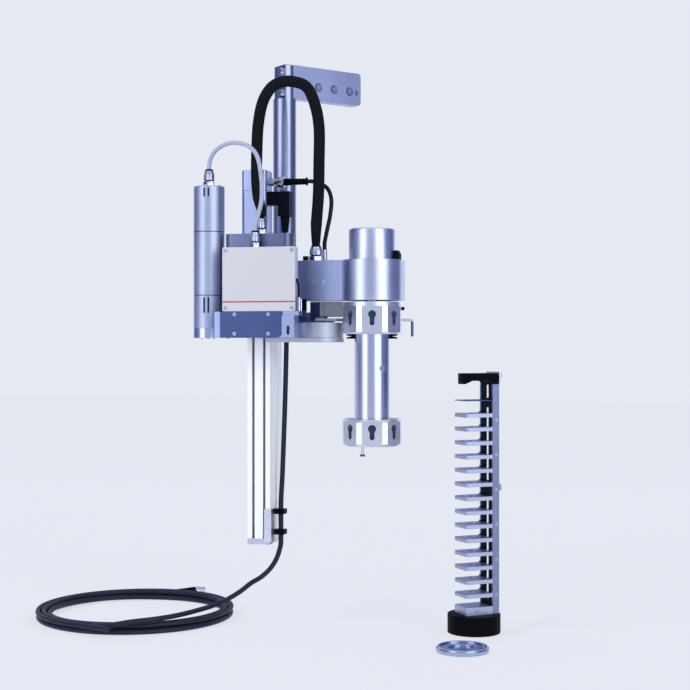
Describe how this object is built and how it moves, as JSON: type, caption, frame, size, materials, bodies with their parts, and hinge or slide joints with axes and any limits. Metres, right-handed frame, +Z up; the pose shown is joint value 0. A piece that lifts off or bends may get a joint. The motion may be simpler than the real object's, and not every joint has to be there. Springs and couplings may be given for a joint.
{
  "type": "diffractometer autosampler",
  "caption": "Robotic sample changer: wall column, lifting axis with swinging pick-up arm, turning turret for hanging magazines, a shelf magazine and its data cable.",
  "frame": {"origin": "on the back face of the wall plate, at mid height, 54.5 mm from the column's axis", "axes": "+X from the lifting axis along the arm to the turret, +Y to the back, +Z up along the column"},
  "size_m": [0.5075, 0.2659, 0.6],
  "materials": {
    "blue_paint": "satin",
    "blue_anodised": "satin",
    "aluminium": "satin",
    "steel": "polished",
    "black_plastic": "matt",
    "black_rubber": "matt",
    "grey_cable": "matt",
    "white_lid": "satin",
    "red_mark": "satin"
  },
  "bodies": {
    "frame": {"mount_plate": "blue_paint", "frame_screws": "steel", "column": "blue_anodised", "column_saddle": "blue_paint", "axis_profile": "aluminium", "end_cap": "aluminium", "lift_motor": "aluminium", "motor_foot": "aluminium", "sensor_plug": "steel", "sensor_cable": "black_rubber", "motor_plug": "black_plastic", "arm_beam": "blue_paint", "nose_housing": "blue_paint", "turret_motor": "aluminium", "motor_socket": "black_plastic", "arm_gland": "steel", "arm_studs": "steel", "cable_bracket": "aluminium", "cable_clips": "black_plastic", "main_cable": "black_rubber", "cable_coil": "black_rubber", "plug_boot": "black_plastic", "cable_plug": "steel", "braided_hose": "black_rubber"},
    "carriage": {"carriage_block": "blue_paint", "slider": "aluminium", "control_box": "white_lid", "box_lid": "white_lid", "carriage_screws": "steel", "lid_stripe": "red_mark", "front_gland": "steel", "control_cable": "grey_cable", "rear_gland": "steel", "belt_housing": "blue_paint", "belt_cover": "blue_anodised", "bearing_plate": "aluminium", "strain_bracket": "blue_paint", "swing_motor": "aluminium", "swing_gearbox": "aluminium", "swing_gland": "steel", "probe_plug": "black_rubber"},
    "lifting_screw": {"leadscrew": "aluminium"},
    "motor_pulley": {"drive_pulley": "steel"},
    "swing_arm": {"swing_drum": "aluminium", "gripper_base": "blue_anodised", "gripper_body": "white_lid", "gripper_blade": "white_lid", "arm_fittings": "steel"},
    "turret": {"turret_head": "aluminium", "turret_tube": "aluminium", "turret_foot": "aluminium", "seal_ring": "black_rubber", "turret_screws": "steel"},
    "magazine": {"magazine_base": "black_plastic", "magazine_shelves": "aluminium", "magazine_frame": "aluminium", "magazine_back": "black_plastic", "magazine_handle": "black_plastic", "magazine_screws": "steel"},
    "sample_ring": {"sample_holder": "aluminium"}
  },
  "joints": [
    {"name": "lift", "type": "slide", "parent": "frame", "child": "carriage", "axis": [0, 0, 1], "range_m": [-0.205, 0], "deforming": ["braided_hose"]},
    {"name": "screw_turn", "type": "hinge", "parent": "frame", "child": "lifting_screw", "pos_m": [-0.04517, -0.0925, -0.3], "axis": [0, 0, 1], "continuous": true},
    {"name": "swing", "type": "hinge", "parent": "carriage", "child": "swing_arm", "pos_m": [0.01603, -0.0955, -0.27], "axis": [0, 0, 1], "range_deg": [0, 64]},
    {"name": "pulley_turn", "type": "hinge", "parent": "carriage", "child": "motor_pulley", "pos_m": [-0.09347, -0.1285, -0.274], "axis": [0, 0, 1], "range_deg": [-5, 275]},
    {"name": "turret_turn", "type": "hinge", "parent": "frame", "child": "turret", "pos_m": [0.07353, -0.1005, -0.26], "axis": [0, 0, 1], "continuous": true},
    {"name": "magazine_lift", "type": "slide", "parent": "frame", "child": "magazine", "axis": [0, 0, 1], "range_m": [0, 0.1]},
    {"name": "ring_lift", "type": "slide", "parent": "frame", "child": "sample_ring", "axis": [0, 0, 1], "range_m": [0, 0.05]}
  ],
  "couplings": [
    {"joint": "screw_turn", "follows": "lift", "rad_per_m": 628.32},
    {"joint": "pulley_turn", "follows": "swing", "ratio": 4.2167}
  ]
}
